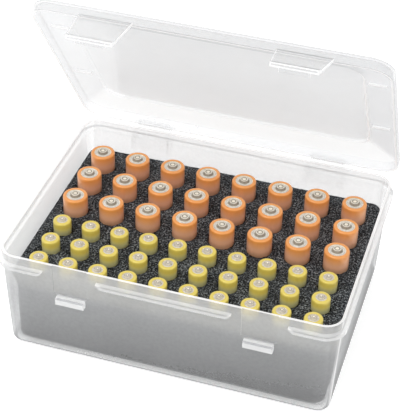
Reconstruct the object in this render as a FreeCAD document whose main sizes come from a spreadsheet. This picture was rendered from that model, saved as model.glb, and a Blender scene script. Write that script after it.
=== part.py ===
import FreeCAD, Part
import math
import os
import Sketcher

# Hinged-lid storage box for round cells: a drafted tray, a lid on two slotted hinges,
# two flap latches on the lid's front rim, and a foam block with a blind pocket for each cell.
# Frame: x runs along the front, y to the back, z up; the box stands on z = 0.

os.makedirs("parts", exist_ok=True)
doc = FreeCAD.newDocument("cell_box")

# Driving dimensions, in millimetres and degrees.
DIMENSIONS = [
    # tray
    ("foot_width", 187.0, "tray outside at the foot, along x"),
    ("foot_depth", 135.0, "tray outside at the foot, along y"),
    ("foot_corner", 7.5, "vertical corner radius at the foot"),
    ("foot_round", 3.0, "radius of the edge that it stands on"),
    ("tray_height", 66.0, "standing face to rim"),
    ("lean", 3.0, "how far each wall leans out from foot to rim"),
    ("wall", 1.5, "side wall thickness"),
    ("base_floor", 1.8, "floor thickness"),
    ("rim_bevel", 0.4, "bevel along both edges of the rim"),
    ("ledge_drop", 5.5, "rim above the ledge that stops the lid"),
    ("ledge_thick", 3.5, "height of the ledge"),
    ("latch_centre", 53.4, "latch from the middle, along x"),
    ("break_play", 0.6, "side room of a latch in its break of the ledge"),
    ("break_splay", 3.0, "how far each end of a break slants back"),
    ("relief_width", 20.0, "relief in the wall behind a latch"),
    ("relief_gap", 0.5, "relief above its catch bar"),
    ("relief_sink", 0.4, "depth of that relief"),
    ("catch_width", 16.5, "length of a catch bar"),
    ("catch_drop", 20.5, "underside of a catch bar below the ledge's upper face"),
    ("catch_tall", 5.5, "height of a catch bar"),
    ("catch_bevel", 1.4, "bevel along the top of a catch bar"),
    ("catch_inset", 0.2, "face of a catch bar behind the lid's front"),
    # hinge
    ("hinge_out", 5.0, "hinge axis behind the lid's back"),
    ("hinge_rise", 1.0, "hinge axis above the ledge"),
    ("hinge_centre", 55.0, "hinge from the middle, along x"),
    ("pin_radius", 1.5, "hinge pin"),
    ("pin_play", 0.06, "radial play of a barrel on its pin"),
    ("ear_radius", 3.0, "ear round the end of a pin"),
    ("ear_thick", 2.2, "thickness of an ear"),
    ("ear_drop", 10.5, "lower end of an ear below the ledge's upper face"),
    ("boss_out", 0.3, "back of the boss between two ears, behind the lid's back"),
    ("barrel_length", 20.0, "barrel on the lid"),
    ("barrel_radius", 2.9, "barrel on the lid"),
    ("barrel_play", 0.4, "side play of a barrel between its ears"),
    ("barrel_mouth", 2.5, "slot by which a barrel goes over its pin"),
    ("arm_drop", 0.2, "underside of a barrel's arm below the hinge axis"),
    # lid, as it lies when shut
    ("lid_play", 0.5, "room between the lid and the rim inside it"),
    ("lid_gap", 0.2, "lid's rim above the ledge"),
    ("lid_tall", 6.8, "height of the lid's skirt"),
    ("lid_wall", 1.5, "skirt thickness"),
    ("lid_skin", 1.2, "thickness of the lid's top"),
    ("lid_bevel", 1.2, "bevel along the lid's top edge"),
    ("lid_open", 55.6, "angle at which the lid stands"),
    ("panel_border", 16.5, "lid's front and sides to the raised panel"),
    ("panel_back", 24.5, "lid's back to the raised panel"),
    ("panel_corner", 12.0, "corner radius of the panel"),
    ("panel_rise", 1.5, "how far the panel stands proud"),
    ("panel_slope", 30.0, "slope of the panel's edge"),
    ("rib_gap", 1.5, "panel to a border rib"),
    ("rib_length", 10.0, "border rib, along x"),
    ("rib_thick", 1.2, "thickness of a border rib"),
    ("rib_tall", 1.0, "height of a border rib"),
    ("rib_front", 42.0, "front rib in front of the middle"),
    ("rib_back", 16.0, "back rib behind the middle"),
    # latches
    ("root_out", 0.4, "latch axis in front of the lid's front"),
    ("root_rise", 0.7, "latch axis above the lid's rim"),
    ("root_radius", 0.6, "rounded root of a latch"),
    ("root_play", 0.06, "radial play of the root in its groove"),
    ("root_width", 29.6, "latch at its root"),
    ("tip_width", 25.0, "latch at its tip"),
    ("tip_over", 0.4, "tip of a latch below its hook"),
    ("latch_front", 1.4, "outer face of a latch from its axis"),
    ("latch_back", 0.2, "inner face of a latch from its axis"),
    ("latch_start", 1.0, "thin part of a latch next to its root"),
    ("grip_tall", 2.4, "grip lip at the tip"),
    ("grip_front", 2.3, "face of the grip lip from the axis"),
    ("hook_width", 16.0, "hook under the catch bar"),
    ("hook_clear", 0.38, "tip of a hook from the tray's wall"),
    ("hook_play", 0.8, "hook below its catch bar"),
    ("hook_edge", 1.0, "blunt edge of the hook"),
    ("hook_tall", 2.6, "height of the hook at its foot"),
    ("left_flare", 34.4, "left latch from its shut place"),
    ("right_flare", 47.3, "right latch from its shut place"),
    # foam, and where the cells stand in it
    ("foam_play", 0.08, "foam inside the tray at its floor"),
    ("foam_tall", 45.7, "thickness of the foam"),
    ("pocket_play", 0.1, "radial room of a cell in its pocket"),
    ("front_margin", 7.35, "foam in front of the small cells"),
    ("middle_margin", 7.85, "foam between small and large cells"),
    ("back_margin", 10.85, "foam behind the large cells"),
    ("row_ratio", 1.306, "spacing of the large rows over that of the small ones"),
    # large cells
    ("aa_radius", 7.25, "large cell"),
    ("aa_body", 49.4, "large cell without its nub"),
    ("aa_nub_radius", 2.75, "nub of a large cell"),
    ("aa_nub_tall", 1.1, "height of that nub"),
    ("aa_pocket", 38.5, "depth of its pocket"),
    ("aa_margin", 6.35, "foam beside each row of large cells"),
    # small cells
    ("aaa_radius", 5.25, "small cell"),
    ("aaa_body", 43.7, "small cell without its nub"),
    ("aaa_nub_radius", 1.9, "nub of a small cell"),
    ("aaa_nub_tall", 0.8, "height of that nub"),
    ("aaa_pocket", 36.2, "depth of its pocket"),
    ("aaa_margin", 8.15, "foam beside each row of small cells"),
]

# Each kind of cell: how many along x and how many along y.
COUNTS = {"aa": (8, 3), "aaa": (10, 3)}

# Flats that stand for a round side, which keeps the many repeats light.
CELL_SIDES = 16
NUB_SIDES = 8

# What follows from the driving dimensions, by formula.
DERIVED = [
    ("draft", "atan(lean / tray_height)", "draft of the four walls"),
    ("ledge_top", "tray_height - ledge_drop", "height of the ledge's upper face"),
    ("ledge_foot", "ledge_top - ledge_thick", "height of the ledge's lower face"),
    ("lid_over", "lean + lid_wall + lid_play", "lid and ledge outside the foot"),
    ("lid_width", "foot_width + 2 * lid_over", "lid and ledge outside, along x"),
    ("lid_depth", "foot_depth + 2 * lid_over", "lid and ledge outside, along y"),
    ("lid_corner", "foot_corner + lid_over", "corner radius of lid and ledge"),
    ("lid_rim", "ledge_top + lid_gap", "height of the shut lid's rim"),
    ("lid_top", "lid_rim + lid_tall", "height of the shut lid's top"),
    ("lid_under", "lid_top - lid_skin", "underside of that top"),
    ("panel_width", "lid_width - 2 * panel_border", "raised panel, along x"),
    ("panel_depth", "lid_depth - panel_border - panel_back", "raised panel, along y"),
    ("panel_middle", "(panel_border - panel_back) / 2", "centre of the panel along y"),
    ("rib_start", "panel_width / 2 + rib_gap", "inner end of a border rib"),
    ("hinge_back", "lid_depth / 2 + hinge_out", "hinge axis behind the middle"),
    ("hinge_height", "ledge_top + hinge_rise", "height of the hinge axis"),
    ("ear_foot", "ledge_top - ear_drop", "lower end of an ear"),
    ("boss_back", "lid_depth / 2 + boss_out", "back of the boss between two ears"),
    ("catch_foot", "ledge_top - catch_drop", "underside of a catch bar"),
    ("catch_top", "catch_foot + catch_tall", "upper side of a catch bar"),
    ("catch_face", "lid_depth / 2 - catch_inset", "face of a catch bar"),
    ("relief_foot", "catch_top + relief_gap", "lower end of a relief"),
    ("break_top", "root_width + 2 * break_play", "break in the ledge's upper face"),
    ("break_foot", "break_top + 2 * break_splay", "break in the ledge's lower face"),
    ("root_front", "lid_depth / 2 + root_out", "latch axis in front of the middle"),
    ("root_height", "lid_rim + root_rise", "latch axis when the lid is shut"),
    ("hook_top", "root_height - catch_foot + hook_play", "axis to the hook's upper face"),
    ("latch_length", "hook_top + hook_tall + tip_over", "axis to tip"),
    ("catch_wall", "foot_depth / 2 + lean * catch_foot / tray_height",
     "tray's wall at the underside of a catch bar"),
    ("hook_reach", "root_front - catch_wall - hook_clear", "axis to the tip of the hook"),
    ("foam_lean", "lean * base_floor / tray_height", "how far the walls lean out at the floor"),
    ("foam_inset", "wall + foam_play - foam_lean", "foam inside the foot's outline"),
    ("foam_width", "foot_width - 2 * foam_inset", "foam along x"),
    ("foam_depth", "foot_depth - 2 * foam_inset", "foam along y"),
    ("foam_top", "base_floor + foam_tall", "height of the foam's upper face"),
    ("aa_step_x", "(foam_width - 2 * aa_margin - 2 * aa_radius) / %d" % (COUNTS["aa"][0] - 1),
     "spacing of large cells along x"),
    ("aaa_step_x", "(foam_width - 2 * aaa_margin - 2 * aaa_radius) / %d" % (COUNTS["aaa"][0] - 1),
     "spacing of small cells along x"),
    ("rows_deep", "foam_depth - front_margin - middle_margin - back_margin"
     " - 2 * aa_radius - 2 * aaa_radius", "all row spacings together"),
    ("aaa_step_y", "rows_deep / (%d + %d * row_ratio)" % (COUNTS["aaa"][1] - 1, COUNTS["aa"][1] - 1),
     "spacing of small cells along y"),
    ("aa_step_y", "aaa_step_y * row_ratio", "spacing of large cells along y"),
    ("aaa_first_y", "front_margin + aaa_radius - foam_depth / 2", "front row of small cells"),
    ("aa_first_y", "foam_depth / 2 - back_margin - aa_radius - %d * aa_step_y" % (COUNTS["aa"][1] - 1),
     "front row of large cells"),
]

# The lid and the latches are drawn shut, and these swing them to where they stand.
LID_SWING = ("placement(vector(0; 0; 0); rotation(vector(1; 0; 0); -dims.lid_open); "
             "vector(0; dims.hinge_back; dims.hinge_height))")
LATCH_SWING = ("placement(vector(%d * dims.latch_centre; -dims.root_front; dims.root_height); "
               "rotation(vector(1; 0; 0); -dims.%s))")

# Where a sketch's geometry lies until its constraints move it.
GUESS_X, GUESS_Y, GUESS_RADIUS = 40.0, 30.0, 5.0

dims = doc.addObject("Spreadsheet::Sheet", "dims")
for row, (alias, value, meaning) in enumerate(DIMENSIONS + DERIVED, start=1):
    dims.set("A%d" % row, alias)
    dims.set("B%d" % row, "=" + value if isinstance(value, str) else str(value))
    dims.set("C%d" % row, meaning)
    dims.setAlias("B%d" % row, alias)
    doc.recompute()

nodes = []


def sheet(alias):
    """The value of one cell of the sheet."""
    return float(dims.get(dims.getCellFromAlias(alias)))


def new_body(label):
    """An empty body, listed as a sub-part."""
    body = doc.addObject("PartDesign::Body", label)
    body.Label = label
    nodes.append(body)
    return body


def origin_item(body, role):
    return [item for item in body.Origin.OriginFeatures if item.Role == role][0]


def new_sketch(body, plane, offset=None):
    """A sketch on one of the body's own planes, moved along its normal."""
    sketch = body.newObject("Sketcher::SketchObject", "sketch")
    sketch.AttachmentSupport = [(origin_item(body, plane), "")]
    sketch.MapMode = "FlatFace"
    if offset:
        sketch.setExpression("AttachmentOffset.Base.z", offset)
    return sketch


def fix(sketch, kind, geometry, point, expression):
    """Bind one coordinate of a point, measured from the sketch's origin."""
    index = sketch.addConstraint(Sketcher.Constraint(kind, -1, 1, geometry, point, 1.0))
    sketch.setExpression("Constraints[%d]" % index, expression)


def polygon(sketch, corners):
    """A closed outline whose corners are pairs of expressions."""
    first = sketch.GeometryCount
    count = len(corners)
    for i in range(count):
        start = FreeCAD.Vector(i, (i * i) % 7, 0)
        end = FreeCAD.Vector(i + 1, ((i + 1) ** 2) % 7, 0)
        sketch.addGeometry(Part.LineSegment(start, end), False)
    for i in range(count):
        after = first + (i + 1) % count
        sketch.addConstraint(Sketcher.Constraint("Coincident", first + i, 2, after, 1))
    for i, (across, along) in enumerate(corners):
        fix(sketch, "DistanceX", first + i, 1, across)
        fix(sketch, "DistanceY", first + i, 1, along)


def circle(sketch, across, along, radius):
    """A circle whose centre and radius are expressions."""
    index = sketch.addGeometry(
        Part.Circle(FreeCAD.Vector(1, 1, 0), FreeCAD.Vector(0, 0, 1), 1.0), False)
    fix(sketch, "DistanceX", index, 3, across)
    fix(sketch, "DistanceY", index, 3, along)
    round_one = sketch.addConstraint(Sketcher.Constraint("Radius", index, 1.0))
    sketch.setExpression("Constraints[%d]" % round_one, radius)


def many_sided(sketch, across, along, radius):
    """The outline of a cell, its corners on a circle round (across, along)."""
    turns = ["%g deg" % (360.0 * i / CELL_SIDES) for i in range(CELL_SIDES)]
    polygon(sketch, [("%s + (%s) * cos(%s)" % (across, radius, turn),
                      "%s + (%s) * sin(%s)" % (along, radius, turn)) for turn in turns])


def rounded(sketch, width, depth, radius, middle="0"):
    """A rectangle with round corners; its centre lies at (0, middle)."""
    first = sketch.GeometryCount
    half_w, half_d = "((%s) / 2 - (%s))" % (width, radius), "((%s) / 2 - (%s))" % (depth, radius)
    quarters = [(1, 1, 0.0), (-1, 1, 90.0), (-1, -1, 180.0), (1, -1, 270.0)]
    for across, along, turn in quarters:
        centre = FreeCAD.Vector(GUESS_X * across, GUESS_Y * along, 0)
        full = Part.Circle(centre, FreeCAD.Vector(0, 0, 1), GUESS_RADIUS)
        quarter = Part.ArcOfCircle(full, math.radians(turn), math.radians(turn + 90))
        sketch.addGeometry(quarter, False)
    for i in range(4):
        here, there = sketch.Geometry[first + i], sketch.Geometry[first + (i + 1) % 4]
        sketch.addGeometry(Part.LineSegment(here.EndPoint, there.StartPoint), False)
    for i in range(4):
        side, after = first + 4 + i, first + (i + 1) % 4
        sketch.addConstraint(Sketcher.Constraint("Tangent", first + i, 2, side, 1))
        sketch.addConstraint(Sketcher.Constraint("Tangent", side, 2, after, 1))
    for i, (across, along, _) in enumerate(quarters):
        fix(sketch, "DistanceX", first + i, 3, "%d * %s" % (across, half_w))
        fix(sketch, "DistanceY", first + i, 3, "%s + %d * %s" % (middle, along, half_d))
        index = sketch.addConstraint(Sketcher.Constraint("Radius", first + i, GUESS_RADIUS))
        sketch.setExpression("Constraints[%d]" % index, radius)


def extrude(body, kind, sketch, length, taper=None, both_ways=False, against=False):
    """A pad or a pocket of a sketch; its length and taper are expressions."""
    feature = body.newObject("PartDesign::" + kind, kind.lower())
    feature.Profile = (sketch, [""])
    feature.SideType = "Symmetric" if both_ways else "One side"
    feature.Reversed = against
    feature.setExpression("Length", length)
    if taper:
        feature.setExpression("TaperAngle", taper)
    before = volume(feature.BaseFeature)
    doc.recompute()
    if kind == "Pocket" and feature.Shape.Volume > before - 0.01:
        raise RuntimeError("a pocket of %s cuts nothing" % body.Label)
    return feature


def volume(feature):
    return feature.Shape.Volume if feature else 0.0


def dress(body, kind, height, amount):
    """Fillet or chamfer every edge of the body that lies flat at a height."""
    base = body.Tip
    flat = [n for n, edge in enumerate(base.Shape.Edges, 1)
            if abs(edge.BoundBox.ZMin - height) < 1e-4 > abs(edge.BoundBox.ZMax - height)]
    feature = body.newObject("PartDesign::" + kind, kind.lower())
    feature.Base = (base, ["Edge%d" % n for n in flat])
    feature.setExpression("Radius" if kind == "Fillet" else "Size", amount)
    doc.recompute()
    return feature


def mirror(body, features):
    """Repeat features on the other side of the middle."""
    copy = body.newObject("PartDesign::Mirrored", "mirrored")
    copy.Originals = features
    copy.MirrorPlane = (origin_item(body, "YZ_Plane"), [""])
    body.Tip = copy
    doc.recompute()
    return copy


def repeat(body, feature, step_x, count_x, step_y, count_y):
    """Repeat a feature in columns along x and rows along y."""
    grid = body.newObject("PartDesign::LinearPattern", "grid")
    grid.Originals = [feature]
    grid.Direction = (origin_item(body, "X_Axis"), [""])
    grid.Direction2 = (origin_item(body, "Y_Axis"), [""])
    grid.Mode = "Extent"
    grid.Mode2 = "Extent"
    grid.setExpression("Length", "%d * %s" % (count_x - 1, step_x))
    grid.setExpression("Length2", "%d * %s" % (count_y - 1, step_y))
    grid.Occurrences = count_x
    grid.Occurrences2 = count_y
    body.Tip = grid
    doc.recompute()
    return grid


# ---- tray: drafted walls, a ledge that stops the lid, catch bars and hinge ears

def tray_ledge(tray):
    """The ledge, broken where the latches pass."""
    ring = new_sketch(tray, "XY_Plane", "dims.ledge_foot")
    rounded(ring, "dims.lid_width", "dims.lid_depth", "dims.lid_corner")
    extrude(tray, "Pad", ring, "dims.ledge_thick")
    gaps = new_sketch(tray, "XZ_Plane")
    for side in (-1, 1):
        ends = [("break_foot", -1, "dims.ledge_foot"), ("break_foot", 1, "dims.ledge_foot"),
                ("break_top", 1, "dims.ledge_top"), ("break_top", -1, "dims.ledge_top")]
        polygon(gaps, [("%d * dims.latch_centre + %d * dims.%s / 2" % (side, end, name), high)
                       for name, end, high in ends])
    extrude(tray, "Pocket", gaps, "dims.lid_depth", against=True)


def tray_walls(tray):
    """The drafted box, rounded at the foot, hollowed from the rim and bevelled there."""
    foot = new_sketch(tray, "XY_Plane")
    rounded(foot, "dims.foot_width", "dims.foot_depth", "dims.foot_corner")
    extrude(tray, "Pad", foot, "dims.tray_height", taper="dims.draft")
    dress(tray, "Fillet", 0.0, "dims.foot_round")
    mouth = new_sketch(tray, "XY_Plane", "dims.tray_height")
    inward = "2 * (dims.lean - dims.wall)"
    rounded(mouth, "dims.foot_width + " + inward, "dims.foot_depth + " + inward,
            "dims.foot_corner + dims.lean - dims.wall")
    extrude(tray, "Pocket", mouth, "dims.tray_height - dims.base_floor", taper="-dims.draft")
    dress(tray, "Chamfer", sheet("tray_height"), "dims.rim_bevel")


def wall_face(height):
    """Distance of the front wall's outer face from the middle at a height."""
    return "(dims.foot_depth / 2 + (%s) * dims.lean / dims.tray_height)" % height


def tray_front(tray):
    """Behind each latch a shallow relief, and below it the bar that the hook catches."""
    relief = new_sketch(tray, "YZ_Plane", "dims.latch_centre")
    sink_foot = wall_face("dims.relief_foot") + " - dims.relief_sink"
    sink_top = wall_face("dims.tray_height") + " - dims.relief_sink"
    polygon(relief, [("-dims.lid_depth", "dims.relief_foot"),
                     ("-(%s)" % sink_foot, "dims.relief_foot"),
                     ("-(%s)" % sink_top, "dims.tray_height"),
                     ("-dims.lid_depth", "dims.tray_height")])
    cut = extrude(tray, "Pocket", relief, "dims.relief_width", both_ways=True)
    bar = new_sketch(tray, "YZ_Plane", "dims.latch_centre")
    inside = "-(%s - dims.wall / 2)" % wall_face("dims.catch_foot")
    polygon(bar, [(inside, "dims.catch_foot"), ("-dims.catch_face", "dims.catch_foot"),
                  ("-dims.catch_face", "dims.catch_top - dims.catch_bevel"),
                  ("-dims.catch_face + dims.catch_bevel", "dims.catch_top"),
                  (inside, "dims.catch_top")])
    catch = extrude(tray, "Pad", bar, "dims.catch_width", both_ways=True)
    mirror(tray, [cut, catch])


def tray_hinges(tray):
    """At the back, two bosses, each with a pin held between two ears."""
    gap = "(dims.barrel_length + 2 * dims.barrel_play)"
    whole = "(%s + 2 * dims.ear_thick)" % gap
    slope = "0.7071 * dims.ear_radius"
    web = new_sketch(tray, "YZ_Plane", "dims.hinge_centre")
    inside = wall_face("dims.ear_foot") + " - dims.wall / 2"
    polygon(web, [(inside, "dims.ear_foot"),
                  ("dims.hinge_back + " + slope, "dims.hinge_height - " + slope),
                  ("dims.hinge_back", "dims.hinge_height"),
                  ("dims.hinge_back - dims.ear_radius", "dims.ledge_top"),
                  (inside, "dims.ledge_top")])
    ear_web = extrude(tray, "Pad", web, whole, both_ways=True)
    disc = new_sketch(tray, "YZ_Plane", "dims.hinge_centre")
    circle(disc, "dims.hinge_back", "dims.hinge_height", "dims.ear_radius")
    ear_disc = extrude(tray, "Pad", disc, whole, both_ways=True)
    between = new_sketch(tray, "YZ_Plane", "dims.hinge_centre")
    polygon(between, [("dims.boss_back", "dims.ear_foot"),
                      ("dims.hinge_back + 2 * dims.ear_radius", "dims.ear_foot"),
                      ("dims.hinge_back + 2 * dims.ear_radius", "dims.tray_height"),
                      ("dims.boss_back", "dims.tray_height")])
    slot = extrude(tray, "Pocket", between, gap, both_ways=True)
    rod = new_sketch(tray, "YZ_Plane", "dims.hinge_centre")
    circle(rod, "dims.hinge_back", "dims.hinge_height", "dims.pin_radius")
    pin = extrude(tray, "Pad", rod, whole, both_ways=True)
    mirror(tray, [ear_web, ear_disc, slot, pin])


def make_tray():
    tray = new_body("base_shell")
    tray_ledge(tray)
    tray_walls(tray)
    tray_front(tray)
    tray_hinges(tray)


# ---- lid: drawn shut over the tray, then swung open about the hinge pins

def lid_shell(lid):
    """Skirt and top, with a raised panel, all one thin moulding."""
    rim = new_sketch(lid, "XY_Plane", "dims.lid_rim")
    rounded(rim, "dims.lid_width", "dims.lid_depth", "dims.lid_corner")
    extrude(lid, "Pad", rim, "dims.lid_tall")
    dress(lid, "Chamfer", sheet("lid_top"), "dims.lid_bevel")
    panel = new_sketch(lid, "XY_Plane", "dims.lid_top")
    rounded(panel, "dims.panel_width", "dims.panel_depth", "dims.panel_corner",
            "dims.panel_middle")
    extrude(lid, "Pad", panel, "dims.panel_rise", taper="-dims.panel_slope")
    hollow = new_sketch(lid, "XY_Plane", "dims.lid_rim")
    rounded(hollow, "dims.lid_width - 2 * dims.lid_wall", "dims.lid_depth - 2 * dims.lid_wall",
            "dims.lid_corner - dims.lid_wall")
    extrude(lid, "Pocket", hollow, "dims.lid_tall - dims.lid_skin", against=True)
    under = new_sketch(lid, "XY_Plane", "dims.lid_under")
    rounded(under, "dims.panel_width - dims.lid_skin", "dims.panel_depth - dims.lid_skin",
            "dims.panel_corner - dims.lid_skin / 2", "dims.panel_middle")
    extrude(lid, "Pocket", under, "dims.panel_rise", taper="-dims.panel_slope", against=True)


def lid_ribs(lid):
    """Two short ribs on each side border, under the top."""
    strips = new_sketch(lid, "XY_Plane", "dims.lid_under - dims.rib_tall")
    for place in ("-dims.rib_front", "dims.rib_back"):
        near, far = place + " - dims.rib_thick / 2", place + " + dims.rib_thick / 2"
        end = "dims.rib_start + dims.rib_length"
        polygon(strips, [("dims.rib_start", near), (end, near), (end, far),
                         ("dims.rib_start", far)])
    ribs = extrude(lid, "Pad", strips, "dims.rib_tall + dims.lid_skin / 2")
    mirror(lid, [ribs])


def lid_barrels(lid):
    """Two slotted barrels that clip over the pins, each on an arm from the back skirt."""
    wall_back = "dims.lid_depth / 2 - dims.lid_wall / 2"
    arm = new_sketch(lid, "YZ_Plane", "dims.hinge_centre")
    low = "dims.hinge_height - dims.arm_drop"
    high = "dims.hinge_height + dims.barrel_radius"
    polygon(arm, [(wall_back, low), ("dims.hinge_back", low), ("dims.hinge_back", high),
                  (wall_back, high)])
    bracket = extrude(lid, "Pad", arm, "dims.barrel_length", both_ways=True)
    tube = new_sketch(lid, "YZ_Plane", "dims.hinge_centre")
    circle(tube, "dims.hinge_back", "dims.hinge_height", "dims.barrel_radius")
    barrel = extrude(lid, "Pad", tube, "dims.barrel_length", both_ways=True)
    hole = new_sketch(lid, "YZ_Plane", "dims.hinge_centre")
    circle(hole, "dims.hinge_back", "dims.hinge_height", "dims.pin_radius + dims.pin_play")
    bore = extrude(lid, "Pocket", hole, "dims.barrel_length + 2", both_ways=True)
    slot = new_sketch(lid, "YZ_Plane", "dims.hinge_centre")
    left, right = ("dims.hinge_back %s dims.barrel_mouth / 2" % sign for sign in "-+")
    below = "dims.hinge_height - 2 * dims.barrel_radius"
    polygon(slot, [(left, below), (right, below), (right, "dims.hinge_height"),
                   (left, "dims.hinge_height")])
    mouth = extrude(lid, "Pocket", slot, "dims.barrel_length + 2", both_ways=True)
    mirror(lid, [bracket, barrel, bore, mouth])


def lid_grooves(lid):
    """The groove along the front rim in which each latch's root turns."""
    run = new_sketch(lid, "YZ_Plane", "dims.latch_centre")
    circle(run, "-dims.root_front", "dims.root_height", "dims.root_radius + dims.root_play")
    groove = extrude(lid, "Pocket", run, "dims.root_width + 1", both_ways=True)
    mirror(lid, [groove])


def make_lid():
    lid = new_body("lid_shell")
    lid_shell(lid)
    lid_ribs(lid)
    lid_barrels(lid)
    lid_grooves(lid)
    lid.setExpression("Placement", LID_SWING)


# ---- latches: drawn hanging from their own axis, then swung out from the lid's front rim


def make_latch(label, side, flare):
    latch = new_body(label)
    root = new_sketch(latch, "YZ_Plane")
    circle(root, "0", "0", "dims.root_radius")
    extrude(latch, "Pad", root, "dims.root_width", both_ways=True)
    web = new_sketch(latch, "XZ_Plane", "-dims.latch_back")
    polygon(web, [("-dims.root_width / 2", "0"), ("dims.root_width / 2", "0"),
                  ("dims.root_width / 2", "-dims.latch_start"),
                  ("-dims.root_width / 2", "-dims.latch_start")])
    extrude(latch, "Pad", web, "dims.latch_back + dims.root_radius")
    plate = new_sketch(latch, "XZ_Plane", "-dims.latch_back")
    polygon(plate, [("-dims.root_width / 2", "-dims.latch_start"),
                    ("dims.root_width / 2", "-dims.latch_start"),
                    ("dims.tip_width / 2", "-dims.latch_length"),
                    ("-dims.tip_width / 2", "-dims.latch_length")])
    extrude(latch, "Pad", plate, "dims.latch_back + dims.latch_front")
    grip = new_sketch(latch, "YZ_Plane")
    top = "-dims.latch_length + dims.grip_tall"
    polygon(grip, [("dims.latch_back", "-dims.latch_length"),
                   ("-dims.grip_front", "-dims.latch_length"),
                   ("-dims.grip_front", top + " - (dims.grip_front - dims.latch_front)"),
                   ("-dims.latch_front", top), ("dims.latch_back", top)])
    extrude(latch, "Pad", grip, "dims.tip_width", both_ways=True)
    hook = new_sketch(latch, "YZ_Plane")
    polygon(hook, [("0", "-dims.hook_top"), ("dims.hook_reach", "-dims.hook_top"),
                   ("dims.hook_reach", "-dims.hook_top - dims.hook_edge"),
                   ("0", "-dims.hook_top - dims.hook_tall")])
    extrude(latch, "Pad", hook, "dims.hook_width", both_ways=True)
    latch.setExpression("Placement", LID_SWING + " * " + LATCH_SWING % (side, flare))


# ---- foam block with a pocket for every cell

def make_foam():
    foam = new_body("foam_insert")
    block = new_sketch(foam, "XY_Plane", "dims.base_floor")
    rounded(block, "dims.foam_width", "dims.foam_depth", "dims.foot_corner - dims.foam_inset")
    extrude(foam, "Pad", block, "dims.foam_tall")
    for kind, (columns, rows) in COUNTS.items():
        hole = new_sketch(foam, "XY_Plane", "dims.foam_top")
        many_sided(hole, "-%g * dims.%s_step_x" % ((columns - 1) / 2, kind),
                   "dims.%s_first_y" % kind, "dims.%s_radius + dims.pocket_play" % kind)
        pocket = extrude(foam, "Pocket", hole, "dims.%s_pocket" % kind)
        repeat(foam, pocket, "dims.%s_step_x" % kind, columns, "dims.%s_step_y" % kind, rows)


# ---- cells

def make_cell(kind, column, row, columns):
    """One cell: a can with a small nub on top, standing on its pocket's floor."""
    can = doc.addObject("Part::Prism", "can")
    nub = doc.addObject("Part::Prism", "nub")
    can.Polygon, nub.Polygon = CELL_SIDES, NUB_SIDES
    can.setExpression("Circumradius", "dims.%s_radius" % kind)
    can.setExpression("Height", "dims.%s_body" % kind)
    nub.setExpression("Circumradius", "dims.%s_nub_radius" % kind)
    nub.setExpression("Height", "dims.%s_nub_tall" % kind)
    nub.setExpression("Placement.Base.z", "dims.%s_body" % kind)
    cell = doc.addObject("Part::Fuse", "cell")
    cell.Base, cell.Tool = can, nub
    cell.Label = "cell_%s_row%d_no%d" % (kind, row + 1, column + 1)
    across = column - (columns - 1) / 2
    cell.setExpression("Placement.Base.x", "%g * dims.%s_step_x" % (across, kind))
    cell.setExpression("Placement.Base.y",
                       "dims.%s_first_y + %d * dims.%s_step_y" % (kind, row, kind))
    cell.setExpression("Placement.Base.z", "dims.foam_top - dims.%s_pocket" % kind)
    nodes.append(cell)


def make_cells():
    for kind, (columns, rows) in COUNTS.items():
        for row in range(rows):
            for column in range(columns):
                make_cell(kind, column, row, columns)


def write_parts():
    """Check every object, then write one file for each sub-part."""
    doc.recompute()
    for item in doc.Objects:
        if "Invalid" in item.State or "Error" in item.State:
            raise RuntimeError("%s did not build" % item.Label)
    for node in nodes:
        shape = node.Shape
        if shape.isNull() or not shape.isValid() or len(shape.Solids) != 1:
            raise RuntimeError("%s is not one sound solid" % node.Label)
        shape.exportStep("parts/%s.step" % node.Label)


make_tray()
make_lid()
make_latch("latch_left", -1, "left_flare")
make_latch("latch_right", 1, "right_flare")
make_foam()
make_cells()
write_parts()
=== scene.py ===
import math
import random

import bmesh
import bpy
from mathutils import Matrix, Vector, noise
from mathutils.geometry import delaunay_2d_cdt


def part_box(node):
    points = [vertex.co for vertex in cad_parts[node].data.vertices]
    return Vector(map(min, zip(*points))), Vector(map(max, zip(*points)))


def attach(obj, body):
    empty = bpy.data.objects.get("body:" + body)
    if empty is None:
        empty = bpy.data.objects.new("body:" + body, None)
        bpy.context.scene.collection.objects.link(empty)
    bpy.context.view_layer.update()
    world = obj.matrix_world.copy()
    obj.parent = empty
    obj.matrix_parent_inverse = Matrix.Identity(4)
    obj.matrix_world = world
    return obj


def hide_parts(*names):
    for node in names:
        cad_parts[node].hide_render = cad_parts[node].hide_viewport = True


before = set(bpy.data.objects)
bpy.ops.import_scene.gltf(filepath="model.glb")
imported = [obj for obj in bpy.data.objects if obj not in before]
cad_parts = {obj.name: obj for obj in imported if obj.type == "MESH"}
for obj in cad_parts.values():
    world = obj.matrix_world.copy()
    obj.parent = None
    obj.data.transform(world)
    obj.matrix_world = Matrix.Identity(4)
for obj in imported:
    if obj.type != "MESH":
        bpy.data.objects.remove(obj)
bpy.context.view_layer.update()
mm = 0.001  # all sizes below are in millimetres and become metres where a mesh is finished
print("frame loaded")


# small helpers for meshes

def newPiece(name, bm, materials, place=Matrix(), sharpAngle=35.0, choose=None):
    # weld, turn the faces outwards, go from millimetres to metres, then put it in its place
    bmesh.ops.remove_doubles(bm, verts=bm.verts, dist=0.0005)
    bmesh.ops.recalc_face_normals(bm, faces=bm.faces)
    for face in bm.faces:
        face.material_index = choose(face.calc_center_median(), face.normal) if choose else 0
    bmesh.ops.transform(bm, matrix=Matrix.Scale(mm, 4) @ place, verts=bm.verts)
    mesh = bpy.data.meshes.new(name)
    bm.to_mesh(mesh)
    bm.free()
    for material in materials:
        mesh.materials.append(material)
    mesh.polygons.foreach_set("use_smooth", [True] * len(mesh.polygons))
    mesh.set_sharp_from_angle(angle=math.radians(sharpAngle))
    piece = bpy.data.objects.new(name, mesh)
    bpy.context.scene.collection.objects.link(piece)
    return piece


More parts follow.
